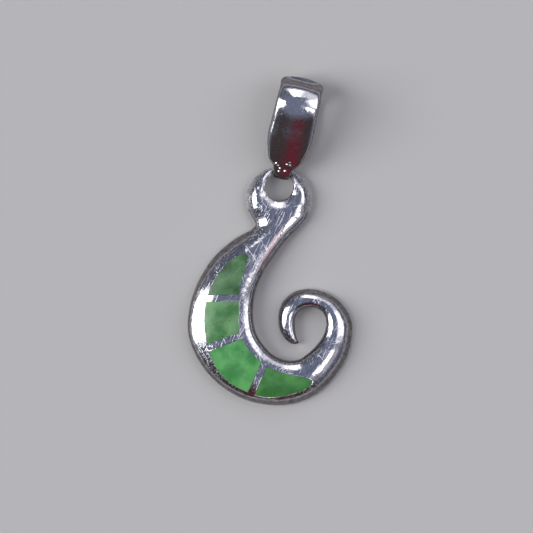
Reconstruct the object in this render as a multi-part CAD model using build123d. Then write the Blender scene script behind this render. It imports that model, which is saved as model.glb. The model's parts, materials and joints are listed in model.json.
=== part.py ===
"""Silver fish-hook pendant with four flush greenstone inlays and a loose closed bail.

It lies face up as it would by itself: the hook rests on its lower rim and on the foot
of the bail, which passes under its head where the back is set in, and the bail lies
back on its own rear leg.
The hook is first shaped in a frame of its own, back on Z = 0 and the head's centre at
X = Y = 0, and then tilted and set down. Millimetres and degrees, +Z up, +Y the head's end.
"""

import math
import os

from build123d import *

# Hook
hook_height = 25.0
body_thickness = 2.2
outer_wall = 0.55
inner_wall = 0.9
head_radius = 3.52
head_thickness = 1.25
head_wall = 0.15
head_slant = 0.72
back_chamfer = 0.15
relief_depth = 0.25
relief_margin = 0.3
back_spare = 0.05

# Shares that shape the rounded sections: how much of the room each shoulder's radius takes,
# how steep a leaning side is, and the most that crown and chamfer take of a narrow section
outer_roundness = 0.68
inner_roundness = 0.9
side_slope = 1.02
crown_limit = 0.92
chamfer_limit = 0.25

# How far a cutter passes what it cuts, as a factor on the cut's own size
overcut = 1.5

# Eye in the head, whose upper bar carries the bail
eye_radius = 1.5
eye_rim = 0.2
bar_width = 0.61

# Greenstone inlays
stone_gap = 0.03
pocket_floor = 1.05
divider_width = 0.62

# Bail
bail_length = 11.0
bail_width = 4.66
bail_top_bore = 1.98
bail_wall = 0.42
bail_dome = 1.1
bail_edge = 0.24
bail_chamfer = 0.16
bail_clearance = 0.21
bail_shift = 0.4
bail_yaw = -13.0

# Sections of the hook from inside the head, down the bowl and round to the point.
# Ends in hundredths of the hook's height from the head's centre. Thickness and how far the
# outer side leans in are shares of the body's thickness, and the crest's place is a share
# of the way from the outer end to the inner one.
# outer x, outer y, inner x, inner y, thickness, crest, slant
HOOK_SECTIONS = [
    (-7.1, -1.2, 11.2, -1.2, 0.60, 0.50, 0.14),
    (-9.8, -5.0, 11.5, -6.9, 0.64, 0.50, 0.18),
    (-10.4, -8.8, 7.5, -12.1, 0.69, 0.50, 0.22),
    (-10.3, -10.8, 3.3, -16.2, 0.75, 0.50, 0.24),
    (-13.8, -13.1, 0.0, -20.4, 0.82, 0.50, 0.24),
    (-20.0, -17.0, -4.4, -26.7, 0.92, 0.51, 0.24),
    (-26.9, -23.1, -7.7, -32.7, 0.98, 0.53, 0.20),
    (-32.3, -31.0, -9.8, -38.3, 1.00, 0.55, 0.12),
    (-36.2, -40.0, -10.7, -44.2, 1.00, 0.56, 0.04),
    (-37.9, -49.2, -10.7, -48.8, 1.00, 0.56, 0.00),
    (-37.1, -58.7, -9.8, -54.4, 1.00, 0.56, 0.00),
    (-34.2, -65.6, -8.3, -57.7, 1.00, 0.56, 0.01),
    (-28.8, -73.3, -5.8, -61.2, 1.00, 0.55, 0.03),
    (-22.2, -79.1, -3.3, -63.8, 0.99, 0.54, 0.05),
    (-14.6, -83.2, -0.6, -65.5, 0.98, 0.54, 0.08),
    (-6.7, -85.3, 2.1, -66.5, 0.96, 0.54, 0.11),
    (2.1, -85.7, 4.8, -66.9, 0.94, 0.55, 0.14),
    (10.4, -83.9, 8.1, -66.5, 0.92, 0.57, 0.17),
    (19.3, -78.4, 11.7, -64.3, 0.89, 0.60, 0.21),
    (24.9, -72.0, 14.2, -62.1, 0.86, 0.63, 0.23),
    (29.1, -64.6, 16.9, -59.0, 0.83, 0.66, 0.25),
    (30.9, -57.2, 19.0, -55.3, 0.80, 0.69, 0.25),
    (31.0, -51.4, 19.8, -51.1, 0.77, 0.70, 0.25),
    (28.9, -46.0, 19.0, -47.8, 0.75, 0.69, 0.24),
    (24.3, -40.7, 17.2, -45.8, 0.73, 0.67, 0.22),
    (17.9, -37.5, 14.9, -44.7, 0.72, 0.65, 0.20),
    (10.8, -36.7, 11.6, -44.5, 0.71, 0.63, 0.16),
    (4.6, -38.9, 8.8, -45.9, 0.70, 0.61, 0.10),
    (0.9, -43.3, 7.2, -48.2, 0.68, 0.60, 0.06),
    (-0.4, -49.5, 6.6, -51.2, 0.65, 0.60, 0.04),
    (0.3, -54.2, 6.8, -54.4, 0.61, 0.60, 0.03),
    (2.1, -57.4, 7.3, -56.7, 0.56, 0.58, 0.02),
    (4.8, -59.6, 7.9, -58.5, 0.50, 0.55, 0.00),
    (7.3, -60.0, 8.4, -59.4, 0.42, 0.50, 0.00),
]

# The two long edges of the inlaid band, in hundredths of the hook's height.
# x, y
BAND_OUTER = [
    (-13.8, -21.8),
    (-19.2, -24.1),
    (-24.2, -29.0),
    (-28.1, -35.2),
    (-30.6, -43.3),
    (-31.2, -52.1),
    (-29.7, -61.2),
    (-25.6, -71.0),
    (-19.8, -76.7),
    (-13.8, -79.8),
    (-7.9, -81.9),
    (-1.7, -82.3),
    (5.0, -81.1),
    (10.8, -79.1),
    (14.0, -76.7),
]
BAND_INNER = [
    (-12.6, -23.5),
    (-14.2, -29.6),
    (-16.2, -38.3),
    (-16.4, -46.7),
    (-16.2, -54.6),
    (-13.5, -60.6),
    (-10.0, -64.6),
    (-5.4, -68.5),
    (0.2, -71.1),
    (5.0, -72.5),
    (10.4, -73.4),
    (14.5, -75.0),
]

# Silver dividers across the band, in hundredths of the hook's height.
# outer x, outer y, inner x, inner y
DIVIDERS = [
    (-30.8, -40.8, -15.4, -40.6),
    (-29.8, -61.5, -15.0, -56.0),
    (-11.9, -81.2, -5.6, -67.3),
]

# A spot on the flat back behind the second stone, in hundredths of the hook's height.
BACK_SPOT = (-24.0, -49.0)

# Sections of each half of the bail, from the middle of its foot to the middle of its top.
# stretch, place along it, width as a share of the bail's width, swell in front and behind
BAIL_SECTIONS = [
    ("foot", 0.00, 0.335, 0.00, 0.00),
    ("foot", 0.33, 0.340, 0.00, 0.00),
    ("foot", 0.67, 0.355, 0.02, 0.00),
    ("foot", 1.00, 0.390, 0.05, 0.00),
    ("leg", 0.06, 0.435, 0.10, 0.00),
    ("leg", 0.11, 0.520, 0.22, 0.00),
    ("leg", 0.17, 0.690, 0.42, 0.00),
    ("leg", 0.26, 0.810, 0.66, 0.00),
    ("leg", 0.40, 0.920, 0.88, 0.00),
    ("leg", 0.57, 1.000, 1.00, 0.00),
    ("leg", 0.78, 0.995, 1.00, 0.00),
    ("top", 0.00, 0.980, 0.97, 0.03),
    ("top", 0.30, 0.965, 0.94, 0.16),
    ("top", 0.60, 0.945, 0.90, 0.42),
    ("top", 1.00, 0.910, 0.85, 0.85),
]


def rounding(half_width, wall, height, chamfer, roundness, slant=0):
    """Lean, radius and centre of a section's shoulder, and radius of its crown."""
    shoulder_base = wall + side_slope * slant
    lean = math.atan2(slant, shoulder_base - chamfer)
    room = (height - shoulder_base) / (1 - math.sin(lean))
    shoulder = roundness * min(room, half_width - slant)
    across = half_width - slant - shoulder * math.cos(lean)
    up = shoulder_base - shoulder * math.sin(lean)
    drop = height - up
    crown = (across**2 + drop**2 - shoulder**2) / (2 * (drop - shoulder))
    return lean, shoulder, (across, up), crown


def half_section(half_width, wall, height, chamfer, roundness, slant=0):
    """One side of a domed section from its base up to its crest, as (across, up) points.

    They are the base, the side's lower and upper end, the shoulder's middle and end,
    and the crown's middle and end.
    """
    side = half_width, wall, height, chamfer, roundness, slant
    lean, shoulder, centre, crown = rounding(*side)
    tilt = math.asin(centre[0] / (crown - shoulder))

    def on_arc(middle, radius, angle):
        return middle[0] + radius * math.sin(angle), middle[1] + radius * math.cos(angle)

    crown_centre = (0, height - crown)
    return (
        (half_width - chamfer, 0),
        (half_width, chamfer),
        (half_width - slant, wall + side_slope * slant),
        on_arc(centre, shoulder, (math.pi / 2 - lean + tilt) / 2),
        on_arc(centre, shoulder, tilt),
        on_arc(crown_centre, crown, tilt / 2),
        (0, height),
    )


def height_over(offset, half_width, wall, height, chamfer, roundness, slant=0):
    """Height of a domed section at a distance from its crest."""
    side = half_width, wall, height, chamfer, roundness, slant
    lean, shoulder, centre, crown = rounding(*side)
    if offset > half_width - slant:
        return chamfer + (half_width - offset) / math.tan(lean)
    if offset > centre[0] * crown / (crown - shoulder):
        return centre[1] + math.sqrt(shoulder**2 - (offset - centre[0]) ** 2)
    return height - crown + math.sqrt(crown**2 - offset**2)


def section_edges(points):
    """Lines and arcs along one side of a section, whose points are in space."""
    base, side, top, shoulder_middle, meet, crown_middle, crest = points
    return [
        Edge.make_line(base, side),
        Edge.make_line(side, top),
        Edge.make_three_point_arc(top, shoulder_middle, meet),
        Edge.make_three_point_arc(meet, crown_middle, crest),
    ]


def domed_wire(plane, outer_side, inner_side):
    """Closed domed section on a plane whose origin is under the crest, outer side at -X."""
    outer = [plane.from_local_coords(Vector(-x, y, 0)) for x, y in half_section(*outer_side)]
    inner = [plane.from_local_coords(Vector(x, y, 0)) for x, y in half_section(*inner_side)]
    base = Edge.make_line(outer[0], inner[0])
    return Wire([base] + section_edges(inner) + section_edges(outer))


def from_share(x, y):
    """A point given in hundredths of the hook's height."""
    return Vector(x * hook_height / 100, y * hook_height / 100, 0)


def make_head():
    """Round head, domed in front, with the eye bored through and its rims rounded."""
    points = [Vector(x, 0, z) for x, z in half_section(*head_side)]
    axis_foot = Vector(0, 0, 0)
    profile = Wire(
        [Edge.make_line(axis_foot, points[0])]
        + section_edges(points)
        + [Edge.make_line(points[-1], axis_foot)]
    )
    disc = revolve(Face(profile), axis=Axis.Z)
    head = disc - Pos(0, eye_y, 0) * Cylinder(eye_radius, 2 * overcut * head_thickness)
    bore_wall = min(head.faces().filter_by(GeomType.CYLINDER), key=lambda face: face.radius)
    rims = bore_wall.edges().filter_by(lambda edge: edge.geom_type != GeomType.LINE)
    return Pos(0, 0, relief_depth) * fillet(rims, eye_rim)


def make_bowl():
    """The hook from inside the head to its point, lofted through its sections.

    It is cast a little thicker behind and ground flat, and then set in behind the head.
    """
    wires = []
    for outer_x, outer_y, inner_x, inner_y, thickness, crest, slant in HOOK_SECTIONS:
        outer = from_share(outer_x, outer_y)
        inner = from_share(inner_x, inner_y)
        width = (inner - outer).length
        across = (inner - outer).normalized()
        middle = outer + (inner - outer) * crest
        middle -= Vector(0, 0, back_spare)
        plane = Plane(middle, x_dir=across, z_dir=across.cross(Vector(0, 0, 1)))
        height = thickness * body_thickness
        chamfer = min(back_chamfer, chamfer_limit * width / 2)
        outer_width = crest * width
        inner_width = width - outer_width
        least_outer = height - crown_limit * outer_width
        least_inner = height - crown_limit * inner_width
        outer_side = (
            outer_width,
            max(thickness * outer_wall, least_outer) + back_spare,
            height + back_spare,
            chamfer + back_spare,
            outer_roundness,
            slant * body_thickness,
        )
        inner_side = (
            inner_width,
            max(thickness * inner_wall, least_inner) + back_spare,
            height + back_spare,
            chamfer + back_spare,
            inner_roundness,
        )
        wires.append(domed_wire(plane, outer_side, inner_side))
    reach = 2 * overcut * hook_height
    spare = Pos(0, 0, -back_spare) * Box(reach, reach, 2 * back_spare)
    relief = Cylinder(head_radius + relief_margin, 2 * relief_depth)
    return Solid.make_loft(wires) - spare - relief


def band_edge(shares, inset):
    """A long edge of the inlaid band, moved towards the band's inside by the inset."""
    points = [from_share(*share) for share in shares]
    edge = Edge.make_spline(points)
    tangents = [edge.tangent_at(point) for point in points]
    points = [
        point + tangent.cross(Vector(0, 0, 1)) * inset
        for point, tangent in zip(points, tangents)
    ]
    points[0] += tangents[0] * abs(inset)
    points[-1] -= tangents[-1] * abs(inset)
    return Edge.make_spline(points)


def stone_outlines(inset):
    """Outlines of the four stones, head end first: the inlaid band less its dividers."""
    outer = band_edge(BAND_OUTER, -inset)
    inner = band_edge(BAND_INNER, inset)
    band = Face(
        Wire(
            [
                outer,
                Edge.make_line(outer @ 1, inner @ 1),
                inner,
                Edge.make_line(outer @ 0, inner @ 0),
            ]
        )
    )
    for outer_x, outer_y, inner_x, inner_y in DIVIDERS:
        start = from_share(outer_x, outer_y)
        end = from_share(inner_x, inner_y)
        plane = Plane((start + end) / 2, x_dir=end - start, z_dir=(0, 0, 1))
        width = divider_width + 2 * inset
        band = band - plane * Rectangle(overcut * (end - start).length, width)
    return sorted(band.faces(), key=lambda face: -face.center().Y)


def bail_reach(foot_bore):
    """Distance between the middles of the bail's foot and top."""
    top_height = bail_wall + BAIL_SECTIONS[-1][-1] * (bail_dome - bail_wall)
    return bail_length - bail_top_bore - top_height - foot_bore - bail_wall


def make_bail_half(foot_bore, behind):
    """Front half of the bail, or the half behind, drawn as if it were in front too.

    Its width runs along X and its length up Y, with the foot's middle at the origin.
    """
    reach = bail_reach(foot_bore)
    quarter = math.pi / 2 - math.asin((bail_top_bore - foot_bore) / reach)
    leg_start = Vector(0, -math.cos(quarter), math.sin(quarter)) * foot_bore
    leg_end = Vector(0, -math.cos(quarter), math.sin(quarter)) * bail_top_bore
    leg_end += Vector(0, reach, 0)
    wires = []
    for stretch, place, share, front_swell, rear_swell in BAIL_SECTIONS:
        turn = quarter
        if stretch == "foot":
            turn = place * quarter
        if stretch == "top":
            turn = quarter + place * (math.pi - quarter)
        outward = Vector(0, -math.cos(turn), math.sin(turn))
        middle = leg_start + (leg_end - leg_start) * place
        if stretch == "foot":
            middle = outward * foot_bore
        if stretch == "top":
            middle = Vector(0, reach, 0) + outward * bail_top_bore
        plane = Plane(middle, x_dir=(1, 0, 0), z_dir=Vector(1, 0, 0).cross(outward))
        swell = rear_swell if behind else front_swell
        height = bail_wall + swell * (bail_dome - bail_wall)
        side = (share * bail_width / 2, bail_edge, height, bail_chamfer, outer_roundness)
        wires.append(domed_wire(plane, side, side))
    return Solid.make_loft(wires)


def make_bail(foot_bore):
    """Closed bail: a domed front and a plain rear leg, joined at the foot and over the top."""
    front = make_bail_half(foot_bore, behind=False)
    rear = mirror(make_bail_half(foot_bore, behind=True), about=Plane.XY)
    return front + rear


# Where the eye and the bar over it lie
head_side = (head_radius, head_wall, head_thickness, back_chamfer, outer_roundness, head_slant)
eye_y = head_radius - bar_width - eye_radius
bar_height = height_over(head_radius - bar_width, *head_side)
bar_top = math.sqrt(head_radius**2 - bail_shift**2)
bar_bottom = eye_y + math.sqrt(eye_radius**2 - bail_shift**2)
bar_middle = Vector(bail_shift, (bar_top + bar_bottom) / 2, relief_depth + bar_height / 2)
bar_corner = max(
    math.hypot(bar_width / 2 - eye_rim, bar_height / 2 - eye_rim) + eye_rim,
    math.hypot(bar_width / 2 - back_chamfer, bar_height / 2),
)
foot_bore = bar_corner + bail_clearance

# How the parts lie: the foot and the top of the bail and the hook's lower rim on Z = 0
bail_rise = math.degrees(math.asin((bail_top_bore - foot_bore) / bail_reach(foot_bore)))
bail = Rot(bail_rise, 0, 0) * make_bail(foot_bore)
pivot_height = -bail.bounding_box().min.Z
lower_rim = head_radius - hook_height + back_chamfer
rim_to_bar = bar_middle.Y - lower_rim
hook_tilt = math.degrees(
    math.asin(pivot_height / math.hypot(rim_to_bar, bar_middle.Z))
    - math.atan2(bar_middle.Z, rim_to_bar)
)

blank = make_head() + make_bowl()
hook = blank
for outline in stone_outlines(0):
    hook = hook - extrude(Pos(0, 0, pocket_floor) * outline, body_thickness)
pieces = {"hook": hook}
for number, outline in enumerate(stone_outlines(stone_gap), start=1):
    stone = extrude(Pos(0, 0, pocket_floor + stone_gap) * outline, body_thickness)
    pieces[f"stone_{number}"] = stone & blank

lie = Pos(0, lower_rim, 0) * Rot(hook_tilt, 0, 0) * Pos(0, -lower_rim, 0)
pieces = {name: lie * piece for name, piece in pieces.items()}
pivot = (lie * Pos(bar_middle)).position
pieces["bail"] = Pos(pivot) * Rot(0, 0, bail_yaw) * bail

# The whole stands on Z = 0 with the middle of its box over the origin
box = Compound(list(pieces.values())).bounding_box()
shift = Pos(-box.center().X, -box.center().Y, -box.min.Z)
os.makedirs("parts", exist_ok=True)
for name, piece in pieces.items():
    solid = (shift * piece).solid()
    export_step(solid, f"parts/{name}.step")
    print(name, "volume", round(solid.volume, 2), "valid", solid.is_valid)

# Places that others need: the bail's hinge, the cord's place in it and a spot on the back
cord = Pos(pivot) * Rot(0, 0, bail_yaw) * Rot(bail_rise, 0, 0) * Pos(0, bail_reach(foot_bore), 0)
back = lie * Pos(from_share(*BACK_SPOT))
print("hinge", tuple((shift * Pos(pivot)).position))
print("cord", tuple((shift * cord).position))
print("back", tuple((shift * back).position), "tilt", hook_tilt, "bail rise", bail_rise)
print("box", tuple(box.size))
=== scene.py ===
# %% [markdown]
# # A fish-hook pendant of polished silver with greenstone inlays
#
# The pendant lies face up on a pale table. Its pieces, their sizes and where they touch come
# ready made, as a frame of solid parts in metres. What is left to do here is how it looks:
# the camera and the light, the polish and wear of the silver, the clouds in the stone, and
# the soft edges that a polished casting has and plain solids don't.

# %% Load the frame
import json
import math

import bpy
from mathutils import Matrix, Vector


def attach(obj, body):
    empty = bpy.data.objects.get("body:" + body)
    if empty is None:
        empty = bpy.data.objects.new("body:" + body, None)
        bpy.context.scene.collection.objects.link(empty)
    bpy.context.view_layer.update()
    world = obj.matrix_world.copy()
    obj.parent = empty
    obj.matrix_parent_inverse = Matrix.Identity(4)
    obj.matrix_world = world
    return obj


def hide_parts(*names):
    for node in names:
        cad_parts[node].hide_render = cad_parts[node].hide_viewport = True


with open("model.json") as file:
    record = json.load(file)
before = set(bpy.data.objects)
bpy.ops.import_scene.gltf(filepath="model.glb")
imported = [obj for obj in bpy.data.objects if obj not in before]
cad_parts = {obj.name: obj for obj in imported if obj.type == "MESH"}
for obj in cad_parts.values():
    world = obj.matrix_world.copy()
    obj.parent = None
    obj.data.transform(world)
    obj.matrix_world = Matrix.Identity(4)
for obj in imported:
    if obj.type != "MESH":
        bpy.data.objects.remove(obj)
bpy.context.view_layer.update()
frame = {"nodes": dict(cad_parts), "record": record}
MM = 0.001
scene = bpy.context.scene
print("pieces in the frame:", ", ".join(sorted(frame["nodes"])))

# %% [markdown]
# ## Camera
#
# The picture looks straight down. A long lens from far off keeps the bail, which stands
# higher than the hook, from growing in the view, as a close camera would make it. The
# picture is square and shows a strip of table a little over 55 mm wide.

# %% Place the camera
view_width = 55.52 * MM
view_centre = Vector((-0.431, -2.618, 1.0)) * MM
camera_distance = 600 * MM
sensor_width = 36.0

bpy.ops.object.camera_add(location=view_centre + Vector((0, 0, camera_distance)))
camera = bpy.context.object
camera.name = "camera"
camera.data.sensor_width = sensor_width
camera.data.lens = sensor_width * camera_distance / view_width
camera.data.clip_start = camera_distance / 10
scene.camera = camera
scene.view_settings.view_transform = "Standard"
print("lens", round(camera.data.lens), "mm")

# %% [markdown]
# ## Nodes as sums
#
# A finish is easier to read as a formula than as a web of nodes. This small class wraps a
# socket: adding or multiplying two of them adds the Math node that does it. Every other
# node comes from one method, which takes the node's type, its settings and its sockets.


# %% Wrap a shader socket
class Shade:
    """A shader socket that adds, subtracts and multiplies like a number."""

    def __init__(self, tree, socket=None):
        self.tree = tree
        self.socket = socket

    def node(self, kind, settings=None, sockets=None, output=0):
        """A new node: its settings are set first, then its sockets get values or links."""
        made = self.tree.nodes.new(kind)
        for name, value in (settings or {}).items():
            setattr(made, name, value)
        for name, value in (sockets or {}).items():
            feed(made, name, value)
        return Shade(self.tree, made.outputs[output])

    def math(self, operation, *values):
        """A Math node with these sockets and numbers."""
        return self.node("ShaderNodeMath", {"operation": operation}, dict(enumerate(values)))

    def __add__(self, other):
        return self.math("ADD", self, other)

    __radd__ = __add__

    def __mul__(self, other):
        return self.math("MULTIPLY", self, other)

    __rmul__ = __mul__

    def __sub__(self, other):
        return self.math("SUBTRACT", self, other)

    def __rsub__(self, other):
        return self.math("SUBTRACT", other, self)

    def step(self, low, high):
        """0 below low and 1 above high, and a smooth rise between."""
        return self.node(
            "ShaderNodeMapRange",
            {"interpolation_type": "SMOOTHSTEP"},
            {"Value": self, "From Min": low, "From Max": high},
        )

    def colour(self, value):
        """A plain colour as a socket."""
        made = self.node("ShaderNodeRGB")
        made.socket.default_value = (*value, 1)
        return made

    def mix(self, other, mask):
        """This colour where the mask is 0, and the other where it is 1."""
        return self.node("ShaderNodeMix", {"data_type": "RGBA"}, {0: mask, 6: self, 7: other}, 2)


def new_material(name):
    """An empty material, its Principled shader, and positions on the piece in millimetres."""
    material = bpy.data.materials.new(name)
    material.use_nodes = True
    tree = material.node_tree
    shader = tree.nodes["Principled BSDF"]
    maker = Shade(tree)
    position = maker.node("ShaderNodeTexCoord", output="Object")
    millimetres = maker.node(
        "ShaderNodeVectorMath", {"operation": "SCALE"}, {0: position, "Scale": 1 / MM}
    )
    return material, shader, millimetres


def feed(node, name, value):
    """Gives one of a node's sockets a link, a colour or a plain value."""
    if isinstance(value, Shade):
        value.tree.links.new(value.socket, node.inputs[name])
    elif isinstance(value, tuple):
        node.inputs[name].default_value = (*value, 1)
    else:
        node.inputs[name].default_value = value


# %% [markdown]
# ## Table
#
# The pendant lies on a plain sheet, painted pale and nearly matt. A plane is all it needs.
# It reaches far beyond the picture, so that no low view shows its edge.

# %% Lay the table
table_size = 600 * MM
table_colour = (0.55, 0.54, 0.525)
table_roughness = 0.7
bpy.ops.mesh.primitive_plane_add(size=table_size, location=(0, 0, 0))
table = bpy.context.object
table.name = "table"
paint, shader, place = new_material("pale table")
feed(shader, "Base Color", table_colour)
feed(shader, "Roughness", table_roughness)
table.data.materials.append(paint)
print("table", round(table_size / MM), "mm wide")

# %% [markdown]
# ## Working in edit mode
#
# An operator acts on all that is selected. These helpers select one piece alone, pick its
# faces by where they look, and finish a modifier on it.


# %% Select, pick and apply
merge_distance = 0.002 * MM


def select_only(*pieces):
    """Selects these objects and nothing else, with the first one active."""
    bpy.ops.object.select_all(action="DESELECT")
    for piece in pieces:
        piece.select_set(True)
    bpy.context.view_layer.objects.active = pieces[0]


def pick_faces(piece, wanted):
    """Enters edit mode with those faces selected for which wanted(face) is true."""
    select_only(piece)
    bpy.ops.object.mode_set(mode="EDIT")
    bpy.ops.mesh.select_all(action="DESELECT")
    bpy.ops.object.mode_set(mode="OBJECT")
    for face in piece.data.polygons:
        face.select = wanted(face)
    bpy.ops.object.mode_set(mode="EDIT")


def apply_modifier(piece, kind, **settings):
    """Adds a modifier with these settings and applies it at once."""
    select_only(piece)
    modifier = piece.modifiers.new(kind.lower(), kind)
    for name, value in settings.items():
        setattr(modifier, name, value)
    bpy.ops.object.modifier_apply(modifier=modifier.name)


def middle_of(piece):
    """The middle of a piece's box, halfway between two corners that lie opposite."""
    return (Vector(piece.bound_box[0]) + Vector(piece.bound_box[6])) / 2


def copy_of(name, node):
    """A new object with the mesh of a frame piece, its loose corners merged."""
    piece = frame["nodes"][node].copy()
    piece.data = piece.data.copy()
    piece.parent = None
    piece.name = name
    bpy.context.collection.objects.link(piece)
    select_only(piece)
    bpy.ops.mesh.customdata_custom_splitnormals_clear()
    bpy.ops.object.mode_set(mode="EDIT")
    bpy.ops.mesh.select_all(action="SELECT")
    bpy.ops.mesh.remove_doubles(threshold=merge_distance)
    bpy.ops.object.mode_set(mode="OBJECT")
    return piece


def count(piece):
    """A piece's name and its number of faces, for printing."""
    return f"{piece.name}: {len(piece.data.polygons)} faces"


# %% [markdown]
# ## One casting
#
# The casting was polished together with the stones that sit in it, so one smooth surface
# runs over metal and stone. It is made the same way here: hook and stones are fused into
# one blank, the blank is rubbed smooth, and the stones are cut out of it again.

# %% Fuse and polish the blank
voxel = 0.085 * MM
polish_passes = 14
smooth_factor = 0.5
stone_spread = 1.03
stone_sink = 0.2 * MM
back_rise = -0.9
stone_names = ["stone_1", "stone_2", "stone_3", "stone_4"]


def wide_stone(node, share, extra_depth):
    """A copy of a stone, wider by a share and deeper, so that it bites into its pocket."""
    stone = copy_of("wide_" + node, node)
    select_only(stone)
    bpy.ops.object.mode_set(mode="EDIT")
    bpy.ops.mesh.select_all(action="SELECT")
    bpy.ops.transform.resize(value=(share, share, 1), center_override=middle_of(stone))
    bpy.ops.object.mode_set(mode="OBJECT")
    pick_faces(stone, lambda face: face.normal.z < back_rise)
    bpy.ops.transform.translate(value=(0, 0, -extra_depth))
    bpy.ops.object.mode_set(mode="OBJECT")
    return stone


blank = copy_of("blank", "hook")
select_only(blank, *[wide_stone(name, stone_spread, stone_sink) for name in stone_names])
bpy.ops.object.join()
blank.data.remesh_voxel_size = voxel
blank.data.use_remesh_fix_poles = True
bpy.ops.object.voxel_remesh()
apply_modifier(blank, "SMOOTH", factor=smooth_factor, iterations=polish_passes)
print(count(blank), "from voxels of", round(voxel / MM, 3), "mm")

# %% [markdown]
# ## Going over it with the buff
#
# A polisher leans longest on the neck and in the two notches below the head, where the
# surface turns from convex to hollow, and touches the head and the curl lightly. Smoothing
# the points of one place at a time does the same: each place has a middle, a reach, a
# number of passes, and the least upward look of the faces that are taken, so that the
# walls below stay where they are. In the notches the reach shrinks pass by pass, which
# leaves the deepest part the roundest.

# %% Rub the places the buff reaches
# For each place: X and Y of its middle and its reach in millimetres, passes, least rise
rubbed_places = [
    (0, 0, 40, 24, 0.3),
    (0.85, 4.3, 3.6, 12, 0.2),
    (0.4, 0.3, 3.2, 80, 0.3),
    (4.1, -9.0, 4.6, 26, 0.22),
]
# X and Y of the notches, and the reaches that are rubbed round each, in millimetres
notches = [(-1.35, 1.6), (2.45, 1.6)]
notch_reaches = [2.2, 1.7, 1.3, 0.9]
notch_passes = 30
notch_rise = 0.1
for reach in notch_reaches:
    rubbed_places += [(x, y, reach, notch_passes, notch_rise) for x, y in notches]


def rub(piece, centre, reach, passes, least_rise):
    """Smooths the upward faces within reach of a place and leaves the walls as they are."""
    pick_faces(
        piece,
        lambda face: face.normal.z > least_rise and (face.center.xy - centre).length < reach,
    )
    bpy.ops.mesh.vertices_smooth(factor=smooth_factor, repeat=passes)
    bpy.ops.object.mode_set(mode="OBJECT")


for x, y, reach, passes, least_rise in rubbed_places:
    rub(blank, Vector((x, y)) * MM, reach * MM, passes, least_rise)
print("places rubbed:", len(rubbed_places))

# %% [markdown]
# ## Dish below the eye
#
# The silver sinks a little towards the eye on its lower side, where the ring was soldered
# and filed. A cut would leave an edge round the dish, so each point is lowered by its own
# amount instead: most beside the eye, less with distance, and nothing above the eye or on
# the back.

# %% Wear a dish below the eye
eye = Vector((0.91, 5.65)) * MM
dish_start, dish_end = 1.5 * MM, 2.7 * MM
dish_depth = 0.24 * MM
head_back, head_front = 0.6 * MM, 1.1 * MM
dish_side_start, dish_side_end = -0.3 * MM, 0.9 * MM


def smooth_share(value, low, high):
    """0 below low and 1 above high, and a smooth rise between."""
    share = min(max((value - low) / (high - low), 0), 1)
    return share * share * (3 - 2 * share)


for corner in blank.data.vertices:
    away = (corner.co.xy - eye).length
    if away < dish_end:
        near = 1 - smooth_share(away, dish_start, dish_end)
        below = smooth_share(eye.y - corner.co.y, dish_side_start, dish_side_end)
        front = smooth_share(corner.co.z, head_back, head_front)
        corner.co.z -= dish_depth * near * below * front
print("dish", round(dish_depth / MM, 2), "mm deep")

# %% [markdown]
# ## Pockets and stones
#
# A lapidary grinds each stone to its pocket, sets it, and rubs the silver's edge over it,
# which leaves a thin bright lip. Here a stone's outline from the frame is drawn up into a
# prism. Intersecting the polished blank with the prism gives the stone, and subtracting the
# same prism gives its pocket, so both share one surface and fit without a step. The lip is
# the outline as a line of its own, dropped straight down onto the surface and thickened
# into a fine wire. The eye gets a lip too, from a circle.

# %% Helpers for outlines and lips
prism_rise = 0.6 * MM
front_rise = 0.5
lip_cuts = 6
lip_roundness = 1


def tall_stone(node):
    """A stone's outline as a prism that passes out of the blank in front."""
    stone = copy_of("prism_" + node, node)
    pick_faces(stone, lambda face: face.normal.z > front_rise)
    bpy.ops.transform.translate(value=(0, 0, prism_rise))
    bpy.ops.object.mode_set(mode="OBJECT")
    return stone


def edge_of(prism):
    """The edge round the front of a prism, as an object of its own."""
    pick_faces(prism, lambda face: face.normal.z > front_rise)
    bpy.ops.mesh.region_to_loop()
    bpy.ops.mesh.duplicate()
    bpy.ops.mesh.separate(type="SELECTED")
    bpy.ops.mesh.select_mode(type="FACE")
    bpy.ops.object.mode_set(mode="OBJECT")
    edge = [piece for piece in bpy.context.selected_objects if piece != prism][0]
    select_only(edge)
    bpy.ops.object.mode_set(mode="EDIT")
    bpy.ops.mesh.select_all(action="SELECT")
    bpy.ops.mesh.subdivide(number_cuts=lip_cuts)
    bpy.ops.object.mode_set(mode="OBJECT")
    return edge


def lip_along(edge, surface, radius):
    """A thin burnished lip where an edge, dropped straight down, meets a surface."""
    apply_modifier(
        edge,
        "SHRINKWRAP",
        target=surface,
        wrap_method="PROJECT",
        use_project_z=True,
        use_negative_direction=True,
        use_positive_direction=False,
    )
    bpy.ops.object.convert(target="CURVE")
    edge = bpy.context.object
    edge.data.bevel_depth = radius
    edge.data.bevel_resolution = lip_roundness
    bpy.ops.object.convert(target="MESH")
    return bpy.context.object


# %% [markdown]
# ## Setting the stones
#
# Each stone is cut from a copy of the whole blank, and its lip is laid on the blank, before
# the first pocket is sunk, so that all of them meet the same surface. Then the pockets are
# sunk. A fine remesh and a few smoothing passes round each stone's border a little, as
# grinding does.

# %% Cut the stones out of the blank
stone_lip = 0.042 * MM
eye_lip = 0.055 * MM
eye_lip_ring = 1.6 * MM
eye_lip_corners = 96
drop_height = 20 * MM
stone_voxel = 0.045 * MM
stone_passes = 4

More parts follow.
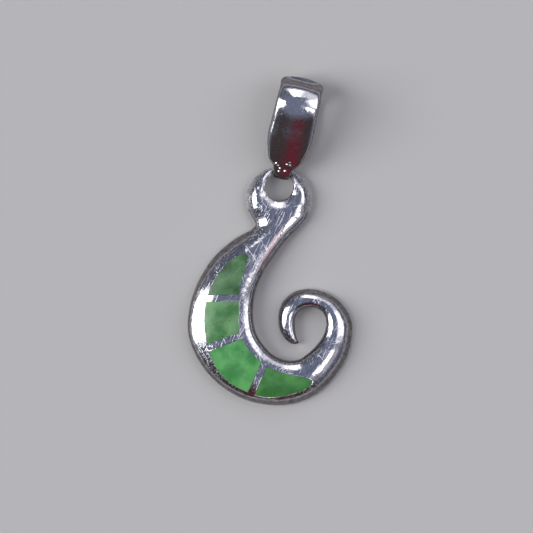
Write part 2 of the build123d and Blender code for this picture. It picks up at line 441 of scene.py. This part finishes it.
bpy.ops.mesh.primitive_circle_add(
    vertices=eye_lip_corners, radius=eye_lip_ring, location=(eye.x, eye.y, drop_height)
)
bpy.ops.object.transform_apply(location=True)
stones = []
prisms = []
lips = [lip_along(bpy.context.object, blank, eye_lip)]
hook = blank
hook.name = "silver_hook"
for number, name in enumerate(stone_names, start=1):
    prism = tall_stone(name)
    lips.append(lip_along(edge_of(prism), blank, stone_lip))
    stone = blank.copy()
    stone.data = blank.data.copy()
    bpy.context.collection.objects.link(stone)
    stone.name = f"inlay_{number}"
    apply_modifier(stone, "BOOLEAN", operation="INTERSECT", object=prism, solver="MANIFOLD")
    stones.append(stone)
    prisms.append(prism)
for prism in prisms:
    apply_modifier(hook, "BOOLEAN", operation="DIFFERENCE", object=prism, solver="MANIFOLD")
    bpy.data.objects.remove(prism)
for stone in stones:
    select_only(stone)
    stone.data.remesh_voxel_size = stone_voxel
    bpy.ops.object.voxel_remesh()
    apply_modifier(stone, "SMOOTH", factor=smooth_factor, iterations=stone_passes)
    print(count(stone))
print(count(hook), "and its lips", sum(len(lip.data.polygons) for lip in lips))
select_only(hook, *lips)
bpy.ops.object.join()

# %% [markdown]
# ## Bail
#
# The bail is a strip of silver, domed across, bent into a loop for the chain and soldered
# shut at its foot, where it passes through the eye. The frame's bail has this shape but
# crisp edges. Remeshing it finely and smoothing it rounds the edges as polishing does, and
# a few small balls laid on the foot first melt into it as the beads of spare solder that
# the real one has. Each bead is let fall onto the surface, so it lies on it whatever its
# height.

# %% Shape the bail
bail = copy_of("silver_bail", "bail")
bail_voxel = 0.06 * MM
bail_passes = 10
bead_roundness = 3

# Small beads of solder on the foot, as (X, Y, radius) in millimetres
solder_beads = [
    (0.60, 8.10, 0.13),
    (0.83, 7.86, 0.11),
    (0.97, 7.56, 0.12),
    (0.86, 7.26, 0.10),
    (1.50, 7.30, 0.12),
    (1.72, 7.95, 0.13),
    (1.98, 8.16, 0.10),
    (2.02, 7.88, 0.11),
]
beads = []
for x, y, radius in solder_beads:
    start = Vector((x * MM, y * MM, drop_height))
    found, place = bail.ray_cast(start, Vector((0, 0, -1)))[:2]
    if found:
        bpy.ops.mesh.primitive_ico_sphere_add(
            subdivisions=bead_roundness, radius=radius * MM, location=place
        )
        beads.append(bpy.context.object)
select_only(bail, *beads)
bpy.ops.object.join()
print("solder beads:", len(beads))
bail.data.remesh_voxel_size = bail_voxel
select_only(bail)
bpy.ops.object.voxel_remesh()
apply_modifier(bail, "SMOOTH", factor=smooth_factor, iterations=bail_passes)
print(count(bail))

# %% [markdown]
# ## Painted shade on the sides
#
# The front is bright, polished silver. The sides and the back are painted darker, a painted
# dark reflection that stands in for the dark surroundings which steep silver shows. A finish
# can't tell the one from the other by place alone, so each point of the mesh keeps a mark: 0
# where it looks up, 1 where it looks sideways or down, and a blend between. A second mark is
# 1 along the foot of the hook's sides, which are left bright there as a painted bright line
# along the edge. The finish below reads both marks as attributes.

# %% Mark the sides for painted shade and their foot for a painted bright line
# The Z of the normal at which a point counts wholly as side, and wholly as front
steepest, shallowest = 0.56, 0.80
# Heights over the back within which the painted bright line at the foot of the sides fades out
edge_glint_start, edge_glint_end = 0.22 * MM, 0.40 * MM
head_middle = Vector((0.91, 4.24)) * MM
head_reach = 3.8 * MM
head_inset = 0.25 * MM
back_mount = next(mount for mount in frame["record"]["mounts"] if mount["name"] == "back")
back_place = Vector(back_mount["pos_m"])
back_axis = Vector(back_mount["axis"])


def painted_side_shade_share(corner):
    """1 on the steep sides and the back, which get painted shade, and 0 on top."""
    return 1 - min(max((corner.normal.z - steepest) / (shallowest - steepest), 0), 1)


def painted_edge_glint_share(corner):
    """1 at the foot of the hook's sides, kept bright as a painted bright line, and 0 farther up.
    """
    rise = (back_place - corner.co).dot(back_axis)
    if (corner.co.xy - head_middle).length < head_reach:
        rise -= head_inset
    return 1 - smooth_share(rise, edge_glint_start, edge_glint_end)


def mark(piece, name, share_at):
    """Stores a share from 0 to 1 at each point of a piece and prints the mean."""
    marks = piece.data.attributes.new(name, "FLOAT", "POINT")
    for corner, place in zip(piece.data.vertices, marks.data):
        place.value = share_at(corner)
    print(piece.name, name, f"{sum(place.value for place in marks.data) / len(marks.data):.0%}")


mark(hook, "side", painted_side_shade_share)
mark(bail, "side", painted_side_shade_share)
mark(hook, "painted_edge_glint", painted_edge_glint_share)
mark(bail, "painted_edge_glint", lambda corner: 0.0)

# %% [markdown]
# ## Silver
#
# Worn silver is a mirror under a web of fine marks. Its polish left a faint swell and some
# cloudy spots, and wear left short scratches that mostly run along the neck, with others
# across them. All of it lies in the colour, the roughness and a shallow bump.
#
# A scratch is a noise pattern pulled out long and thin and then cut off sharply, so that
# only its crests are left. A second, broader noise decides where scratches gather. A few
# single marks that catch the eye are laid one by one; the two rose ones carry a painted
# reflection.

# %% Helpers for scratches
# Length and width of one scratch and of a group of them, in millimetres
scratch_length, scratch_width = 2.6, 0.085
group_length, group_width = 3.0, 1.2
group_shift = 5
# Noise from which a scratch begins to show and shows in full, and the same for a group
scratch_begins, scratch_shows = 0.66, 0.74
group_begins, group_shows = 0.62, 0.72
# How far a single streak wanders from its line, and how often to the millimetre
wander_width, wander_scale = 0.12, 0.9
# The share of its width and length over which a streak is solid, before it fades
solid_share = 0.3


def turned(place, angle, length, width, offset):
    """Positions turned about Z and stretched, so that round blots become streaks."""
    return place.node(
        "ShaderNodeMapping",
        {"vector_type": "TEXTURE"},
        {
            "Vector": place,
            "Location": Vector((offset, 2 * offset, 3 * offset)),
            "Rotation": Vector((0, 0, math.radians(angle))),
            "Scale": Vector((length, width, width)),
        },
    )


def noise(place, scale=1.0, detail=2.0):
    """Cloudy noise: how many clouds there are to the millimetre, and how ragged they are."""
    settings = {"Vector": place, "Scale": scale, "Detail": detail}
    return place.node("ShaderNodeTexNoise", None, settings, "Fac")


def scratches(place, angle, offset, amount):
    """Thin streaks in one direction, in loose groups: 1 on a scratch and 0 beside it."""
    thin = turned(place, angle, scratch_length, scratch_width, offset)
    broad = turned(place, angle, group_length, group_width, offset + group_shift)
    streaks = noise(thin, detail=0.0)
    groups = noise(broad, detail=1.0)
    gathered = groups.step(group_begins - amount, group_shows - amount)
    return streaks.step(scratch_begins, scratch_shows) * gathered


def streak(place, x, y, angle, length, width):
    """1 along one straight streak about (x, y), with faint ends, and 0 elsewhere."""
    settings = {
        "Vector": place,
        "Location": Vector((x, y, 0)),
        "Rotation": Vector((0, 0, math.radians(angle))),
    }
    laid = place.node("ShaderNodeMapping", {"vector_type": "TEXTURE"}, settings)
    along = laid.node("ShaderNodeSeparateXYZ", None, {0: laid}, "X")
    across = laid.node("ShaderNodeSeparateXYZ", None, {0: laid}, "Y")
    wander = noise(place, wander_scale) * wander_width - wander_width / 2
    across = across.math("ABSOLUTE", across + wander)
    along = along.math("ABSOLUTE", along)
    inside = 1 - across.step(width * solid_share, width)
    return inside * (1 - along.step(length * solid_share, length / 2))


# %% [markdown]
# ## One recipe for hook and bail
#
# Both are the same metal, but the bail carries fewer scratches, so the recipe takes the wear
# as a number. Clouds, grain and speckle dull the colour in spots, scratches and streaks
# roughen it, two streaks are tinted rose as a painted reflection, and painted shade darkens
# the sides that the marks on the mesh pick out. The bump is very shallow, because on
# a mirror a hundredth of a millimetre already bends the reflections.

# %% Mix the silver
bright_silver = (0.93, 0.92, 0.92)
dull_silver = (0.42, 0.43, 0.52)
# Painted shade: the dark colour laid over the steep sides and the back
painted_side_shade_colour = (0.10, 0.082, 0.086)
# Painted reflection: the rose colour of two streaks
painted_rose_reflection = (0.95, 0.62, 0.62)
polish_roughness = 0.07
cloud_roughness = 0.12
scratch_roughness = 0.24
side_roughness = 0.12
relief_depth = 0.012 * MM
# How far the painted bright line lifts the painted shade at the foot of the sides
painted_edge_glint_lift = 0.85

# How many swells, clouds and grains there are to the millimetre
swell_scale, cloud_scale, grain_scale = 1.1, 2.6, 5.0
# Noise from which each kind begins to show, and from which it shows in full
cloud_edge, grain_edge, speckle_edge = (0.44, 0.72), (0.5, 0.7), (0.46, 0.62)
blur_edge = (0.4, 0.8)
# How much each kind dulls the colour
cloud_spots, grain_spots, speckle_spots = 0.4, 0.35, 0.4
# How deep each kind goes, as a share of the relief's depth
swell_depth, cloud_depth, grain_depth, scratch_depth = 0.9, 0.4, 0.2, 0.35
# The least painted shade on a side, and what the clouds add to it
least_painted_side_shade, cloud_painted_side_shade = 0.55, 0.6
# How strongly the rose streaks tint the silver as a painted reflection, and how much the rose
# and the pale streaks roughen it
rose_reflection_tint, rose_streak_roughening, pale_roughening = 0.8, 0.8, 1.5

# The speckle's angle, length and width, and where its pattern starts
speckle_lie = (58, 0.42, 0.15, 7.0)
# Runs of scratches: their angle, where their pattern starts, and how thickly they lie
scratch_runs = [
    (61, 1.0, 0.22),
    (68, 11.0, 0.14),
    (-52, 23.0, 0.10),
    (12, 37.0, 0.08),
    (104, 51.0, 0.08),
]
# Single streaks: X, Y, angle, length and width, in millimetres and degrees; the rose ones carry
# a painted reflection
rose_reflection_streaks = [(0.27, -0.40, 62.5, 6.4, 0.13), (-0.35, -1.0, 62, 5.0, 0.09)]
pale_streaks = [(-2.1, -1.15, -55.5, 2.2, 0.09), (-1.9, 0.6, 14, 1.6, 0.1)]


def mix_silver(name, wear):
    """Polished silver whose wear goes from 0, new, to 1."""
    material, shader, place = new_material(name)
    swell = noise(place, swell_scale, detail=1.0)
    clouds = noise(place, cloud_scale, detail=4.0)
    grain = noise(place, grain_scale, detail=3.0)
    marks = sum(scratches(place, *run) for run in scratch_runs)
    speckle = noise(turned(place, *speckle_lie)).step(*speckle_edge)
    spots = clouds.step(*cloud_edge) * cloud_spots + grain.step(*grain_edge) * grain_spots
    spots = spots + speckle * speckle_spots
    streak_and_rose_reflection = sum(streak(place, *laid) for laid in rose_reflection_streaks)
    pale = sum(streak(place, *laid) for laid in pale_streaks)
    side = place.node("ShaderNodeAttribute", {"attribute_name": "side"}, output="Fac")
    painted_edge_glint = place.node("ShaderNodeAttribute", {"attribute_name": "painted_edge_glint"}, output="Fac")
    # Along the foot of the sides the painted shade is lifted again, a painted bright line
    side = side * (1 - painted_edge_glint * painted_edge_glint_lift)
    colour = place.colour(bright_silver).mix(place.colour(dull_silver), spots * wear)
    # Painted reflection: two streaks are tinted rose
    colour = colour.mix(place.colour(painted_rose_reflection), streak_and_rose_reflection * (rose_reflection_tint * wear))
    # Painted dark reflection: the sides and the back are darkened, patchily with the clouds
    painted_side_shade = side * (least_painted_side_shade + clouds * cloud_painted_side_shade)
    colour = colour.mix(place.colour(painted_side_shade_colour), painted_side_shade)
    feed(shader, "Metallic", 1.0)
    feed(shader, "Base Color", colour)
    fine = marks + streak_and_rose_reflection * rose_streak_roughening + pale * pale_roughening
    rough = polish_roughness + clouds.step(*blur_edge) * (cloud_roughness * wear)
    rough = rough + fine * (scratch_roughness * wear) + side * side_roughness
    feed(shader, "Roughness", rough)
    relief = swell * swell_depth + clouds * (cloud_depth * wear) + grain * (grain_depth * wear)
    relief = relief - marks * (scratch_depth * wear)
    bump = place.node(
        "ShaderNodeBump", None, {"Strength": 1.0, "Distance": relief_depth, "Height": relief}
    )
    feed(shader, "Normal", bump)
    return material


hook_silver = mix_silver("worn silver", wear=1.0)
bail_silver = mix_silver("bright silver", wear=0.35)
print("silver:", hook_silver.name, "and", bail_silver.name)

# %% [markdown]
# ## Greenstone
#
# Each inlay was sawn from another part of the stone, so the four differ: the first is dark
# and smoky, the second milky, the third the clearest green. One recipe serves them all:
# soft clouds between a deep and a light green, thin pale fibres, a milky haze, and dark
# specks from a cell pattern. A little light enters the stone, which keeps its shadows
# green, and the polish is good but softer than the silver's.

# %% Colour the stones
milky_green = (0.42, 0.52, 0.40)
speck_green = (0.01, 0.035, 0.012)
stone_relief = 0.006 * MM
# Roughness of the polish, and what its dull patches add
stone_roughness, stone_dullness = 0.26, 0.12
# How much light enters the stone, and how far it gets
glow_share, glow_reach = 0.15, 0.4 * MM
# How many clouds, specks, dull patches and bumps there are to the millimetre
green_scale, speck_scale, patch_scale, bump_scale = 0.55, 1.15, 5.0, 6.0
# Angle, length and width of the fibres and of the milk, and where their pattern starts
fibre_lie = (55, 1.6, 0.14, 4.0)
milk_lie = (30, 2.0, 1.2, 9.0)
# Noise from which each kind begins to show, and from which it shows in full
green_edge, fibre_edge, milk_edge = (0.3, 0.7), (0.62, 0.8), (0.45, 0.8)
# Distance from the middle of a cell over which a speck fades
speck_edge = (0.05, 0.13)
# How strongly fibres and specks show, and how much the fibres stand up
fibre_strength, speck_strength, fibre_height = 0.35, 0.75, 0.5

stone_finishes = {
    "stone_1": {"deep": (0.020, 0.085, 0.026), "light": (0.100, 0.250, 0.095), "haze": 0.16},
    "stone_2": {"deep": (0.062, 0.215, 0.066), "light": (0.195, 0.410, 0.175), "haze": 0.30},
    "stone_3": {"deep": (0.052, 0.265, 0.070), "light": (0.150, 0.500, 0.150), "haze": 0.06},
    "stone_4": {"deep": (0.048, 0.200, 0.048), "light": (0.100, 0.340, 0.088), "haze": 0.05},
}


def mix_greenstone(name, deep, light, haze):
    """Polished greenstone: clouds of two greens, pale fibres, a milky haze and dark specks."""
    material, shader, place = new_material(name)
    clouds = noise(place, green_scale, detail=3.0)
    fibres = noise(turned(place, *fibre_lie))
    milk = noise(turned(place, *milk_lie), detail=3.0)
    cells = place.node(
        "ShaderNodeTexVoronoi", None, {"Vector": place, "Scale": speck_scale}, "Distance"
    )
    specks = 1 - cells.step(*speck_edge)
    pale = fibres.step(*fibre_edge) * fibre_strength + milk.step(*milk_edge) * haze
    colour = place.colour(deep).mix(place.colour(light), clouds.step(*green_edge))
    colour = colour.mix(place.colour(milky_green), pale)
    colour = colour.mix(place.colour(speck_green), specks * speck_strength)
    feed(shader, "Base Color", colour)
    feed(shader, "Roughness", stone_roughness + noise(place, patch_scale) * stone_dullness)
    feed(shader, "Subsurface Weight", glow_share)
    feed(shader, "Subsurface Scale", glow_reach)
    relief = noise(place, bump_scale, detail=3.0) + fibres * fibre_height
    bump = place.node(
        "ShaderNodeBump", None, {"Strength": 1.0, "Distance": stone_relief, "Height": relief}
    )
    feed(shader, "Normal", bump)
    return material


# %% [markdown]
# ## Dressing the pieces
#
# Each finished piece gets its material and stands in for the plain solid it was made from.
# It rides on that solid's body, so the bail still swings and the stones stay in the hook.

# %% Dress the pieces
crease = math.radians(35)
for piece, node, metal in ((hook, "hook", hook_silver), (bail, "bail", bail_silver)):
    piece.data.materials.clear()
    piece.data.materials.append(metal)
    select_only(piece)
    bpy.ops.object.shade_smooth_by_angle(angle=crease)
    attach(piece, node + "_body")
    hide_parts(node)

for stone, node in zip(stones, stone_names):
    stone.data.materials.clear()
    stone.data.materials.append(mix_greenstone("greenstone " + node[-1], **stone_finishes[node]))
    select_only(stone)
    bpy.ops.object.shade_smooth()
    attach(stone, "hook_body")
    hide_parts(node)
print("dressed:", ", ".join(piece.name for piece in (hook, bail, *stones)))

# %% [markdown]
# ## Studio light
#
# A polished piece shows the room it lies in, so the room is what has to be lit. It is drawn
# as a backdrop all round: a blue-grey ceiling, dark walls that are maroon in front, and a
# few soft-edged windows. Each window says from which side it shines and how far it is from
# overhead, in degrees.

# %% Find the way round the room
world = bpy.data.worlds.new("studio")
scene.world = world
world.use_nodes = True
room = Shade(world.node_tree)
direction = room.node("ShaderNodeTexCoord", output="Generated")
east = room.node("ShaderNodeSeparateXYZ", None, {0: direction}, "X")
north = room.node("ShaderNodeSeparateXYZ", None, {0: direction}, "Y")
height = room.node("ShaderNodeSeparateXYZ", None, {0: direction}, "Z")
from_overhead = height.math("ARCCOSINE", height) * (180 / math.pi)


def window(side, spread, nearest, farthest, edge=5):
    """1 within a patch of the backdrop and 0 outside it, with a soft edge between.

    In degrees: side is where its middle lies, from the right and anticlockwise, spread is
    half its width, and nearest and farthest are its borders, counted from overhead.
    """
    turn = math.radians(side)
    ahead = east * math.cos(turn) + north * math.sin(turn)
    across = north * math.cos(turn) - east * math.sin(turn)
    off_side = across.math("ARCTAN2", across, ahead) * (180 / math.pi)
    off_side = off_side.math("ABSOLUTE", off_side)
    inside = 1 - off_side.step(spread - edge, spread + edge)
    beyond = from_overhead.step(nearest - edge, nearest + edge)
    return inside * beyond * (1 - from_overhead.step(farthest - edge, farthest + edge))


# %% [markdown]
# ## Windows
#
# Polished silver shows each window as a bright band on the slopes that face it. That is why
# there are several, of different width and brightness, and none is as large as the ceiling:
# one even light would make the metal look like grey plastic. The red curtain in front gives
# the slopes that face it a dark, warm tint.

# %% Open the windows
ceiling = (0.15, 0.17, 0.25)
wall = (0.10, 0.11, 0.15)
front_wall = (0.045, 0.034, 0.036)
ceiling_fades, wall_shows = 20, 50
front_wall_place = (-98, 46, 40, 110, 10)

from_ceiling = from_overhead.step(ceiling_fades, wall_shows)
backdrop = room.colour(ceiling).mix(room.colour(wall), from_ceiling)
backdrop = backdrop.mix(room.colour(front_wall), window(*front_wall_place))

# Name, colour and brightness, and the place in the backdrop
windows = (
    ("left softbox", (6.0, 6.0, 6.1), window(180, 19, 28, 72)),
    ("right window", (1.5, 1.5, 1.6), window(14, 24, 24, 66, 6)),
    ("back window", (1.9, 1.9, 2.0), window(86, 18, 28, 66)),
    ("back corner", (0.65, 0.65, 0.74), window(54, 20, 34, 70, 8)),
    ("front corner", (0.4, 0.38, 0.44), window(-31, 14, 24, 60, 6)),
    ("front lamp", (3.2, 3.1, 3.2), window(-31, 9, 18, 36, 3)),
    ("red curtain", (0.11, 0.018, 0.03), window(-92, 13, 40, 88, 13)),
)
for name, colour, mask in windows:
    backdrop = backdrop.mix(room.colour(colour), mask)
    print("window:", name)
feed(world.node_tree.nodes["Background"], "Color", backdrop)
